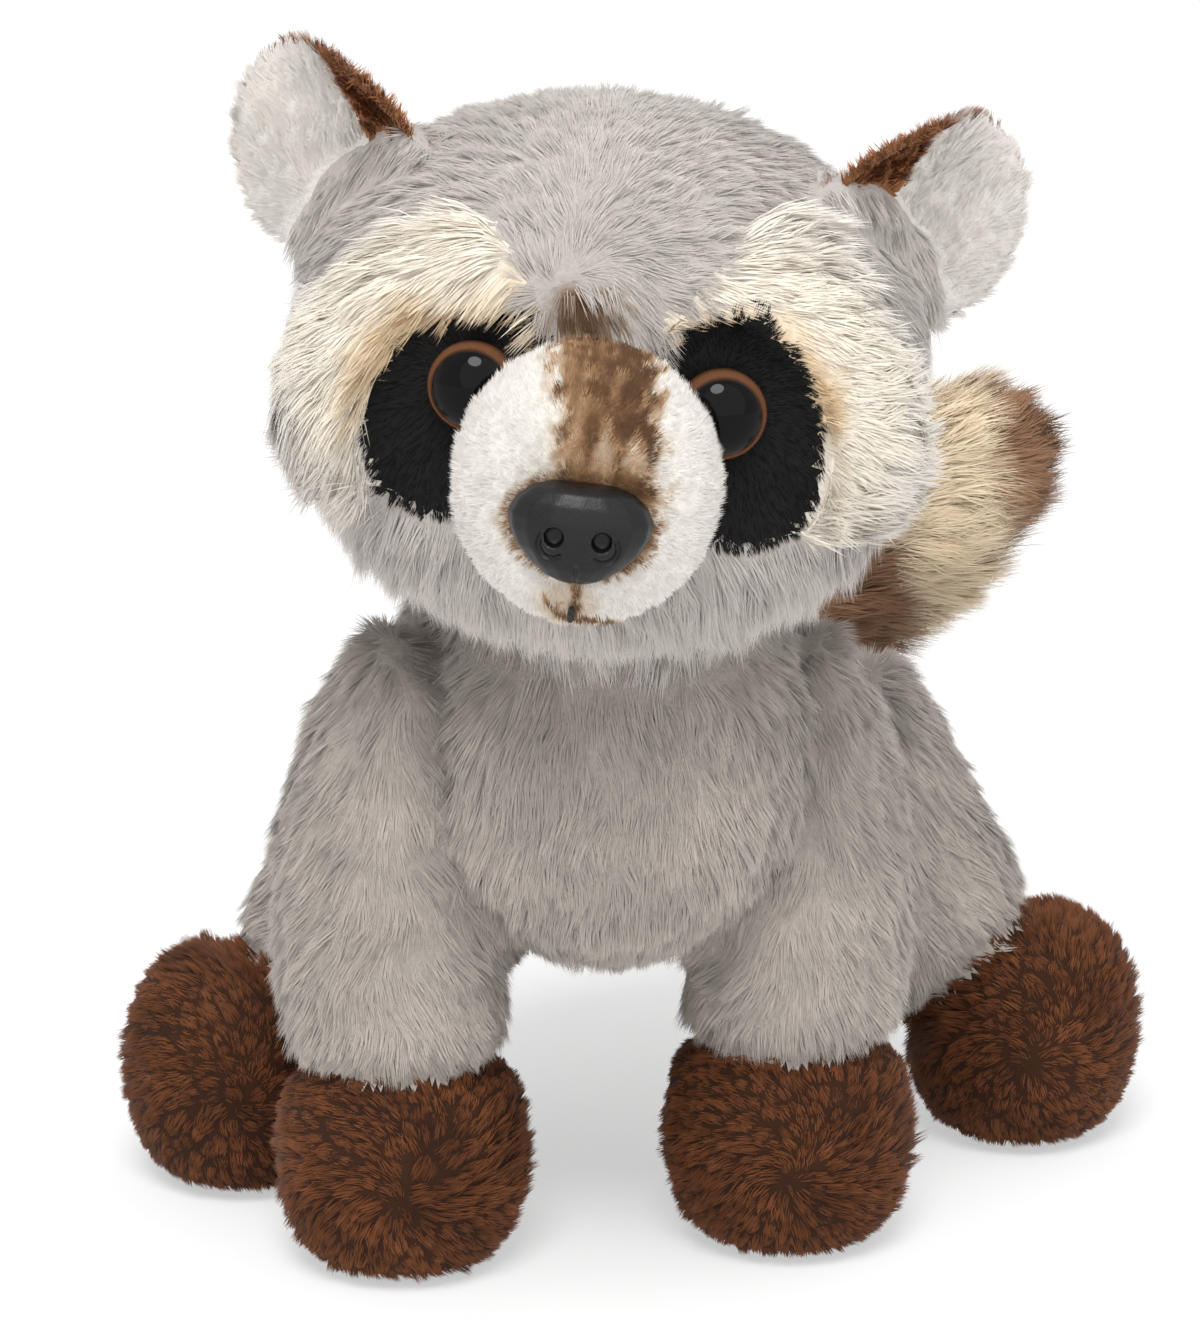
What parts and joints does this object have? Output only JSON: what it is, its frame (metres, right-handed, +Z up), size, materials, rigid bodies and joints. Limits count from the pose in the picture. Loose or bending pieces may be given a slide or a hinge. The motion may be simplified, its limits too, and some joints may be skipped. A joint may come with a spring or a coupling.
{
  "type": "plush raccoon",
  "caption": "Grey plush raccoon toy standing on four brown feet, with a black eye mask, long cream brows, a white muzzle and a raised cream tail.",
  "frame": {"origin": "middle of the toy's bounding box, on the floor under its feet", "axes": "+Z up, +Y from its nose towards its tail, +X towards its own left side"},
  "size_m": [0.1544, 0.184, 0.1753],
  "materials": {
    "grey_plush": "soft grey pile, combed down",
    "brown_plush": "short brown pile in swirls",
    "pale_plush": "short pale grey pile",
    "black_plush": "short black pile",
    "white_plush": "short white pile with brown airbrush",
    "cream_plush": "long cream pile",
    "black_thread": "twisted black thread",
    "fibre": "loose polyester filling",
    "eye_plastic": "polished dome, brown ring round a black pupil",
    "nose_plastic": "satin moulded nose",
    "washer_plastic": "plain moulded lock washer"
  },
  "bodies": {
    "root": {"body_cover": "grey_plush", "body_filling": "fibre", "brow_left": "cream_plush", "brow_right": "cream_plush", "ear_back_left": "brown_plush", "ear_back_right": "brown_plush", "ear_front_left": "pale_plush", "ear_front_right": "pale_plush", "eye_left": "eye_plastic", "eye_right": "eye_plastic", "eye_washer_left": "washer_plastic", "eye_washer_right": "washer_plastic", "forefoot_cover_left": "brown_plush", "forefoot_cover_right": "brown_plush", "foreleg_cover_left": "grey_plush", "foreleg_cover_right": "grey_plush", "head_cover": "grey_plush", "head_filling": "fibre", "hindfoot_cover_left": "brown_plush", "hindfoot_cover_right": "brown_plush", "hindleg_cover_left": "grey_plush", "hindleg_cover_right": "grey_plush", "mask_left": "black_plush", "mask_right": "black_plush", "mouth_stitch": "black_thread", "muzzle_cover": "white_plush", "nose": "nose_plastic", "nose_washer": "washer_plastic", "tail_cover": "cream_plush", "tail_filling": "fibre"}
  },
  "joints": []
}
